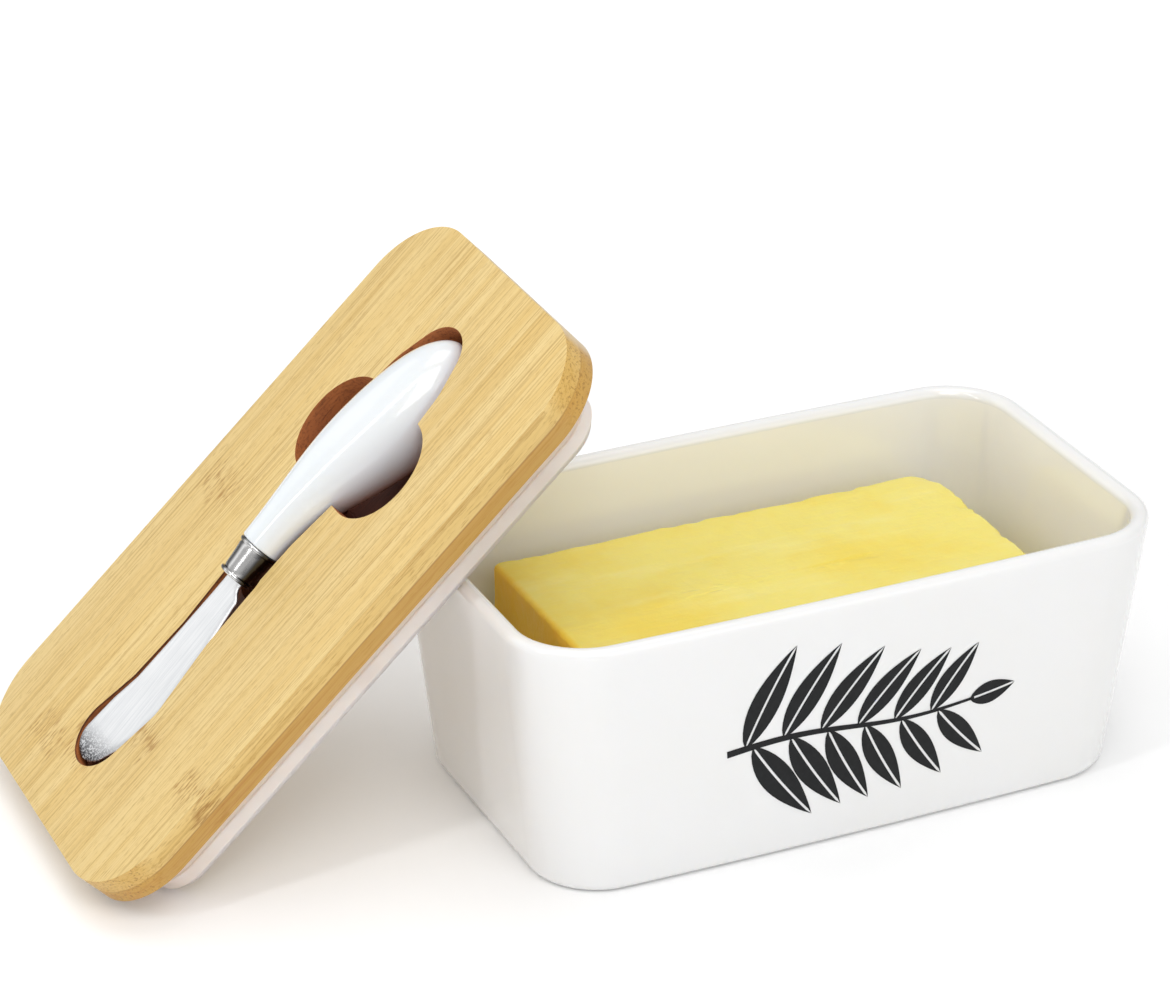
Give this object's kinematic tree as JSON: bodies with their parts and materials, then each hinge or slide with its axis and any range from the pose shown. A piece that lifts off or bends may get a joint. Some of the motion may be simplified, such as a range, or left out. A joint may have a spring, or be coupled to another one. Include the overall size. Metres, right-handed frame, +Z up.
{
  "type": "butter dish",
  "caption": "Rectangular porcelain butter dish with a bamboo lid leaning on its end, a silicone seal round the lid's tongue, a butter spreader in the lid's recess and a block of butter inside.",
  "frame": {"origin": "middle of the tub's underside", "axes": "+X along the tub, away from the end that the lid leans on; +Y from the tub's front to its back; +Z up"},
  "size_m": [0.2637, 0.1331, 0.126],
  "materials": {
    "porcelain": "gloss",
    "bamboo": "satin",
    "silicone": "satin",
    "handle_porcelain": "gloss",
    "cement": "matte",
    "ferrule_steel": "polished",
    "blade_steel": "satin",
    "butter": "satin"
  },
  "bodies": {
    "tub": {"tub": "porcelain"},
    "lid": {"lid_board": "bamboo", "lid_seal": "silicone"},
    "spreader": {"spreader_handle": "handle_porcelain", "handle_cement": "cement", "spreader_ferrule": "ferrule_steel", "spreader_blade": "blade_steel"},
    "butter": {"butter_block": "butter"}
  },
  "joints": [
    {"name": "lid_lift", "type": "slide", "parent": "tub", "child": "lid", "axis": [0, 0, 1], "range_m": [0, 0.09]},
    {"name": "spreader_lift", "type": "slide", "parent": "lid", "child": "spreader", "axis": [-0.6883, 0.012, 0.7254], "range_m": [0, 0.05]},
    {"name": "butter_lift", "type": "slide", "parent": "tub", "child": "butter", "axis": [0, 0, 1], "range_m": [0, 0.035]}
  ]
}
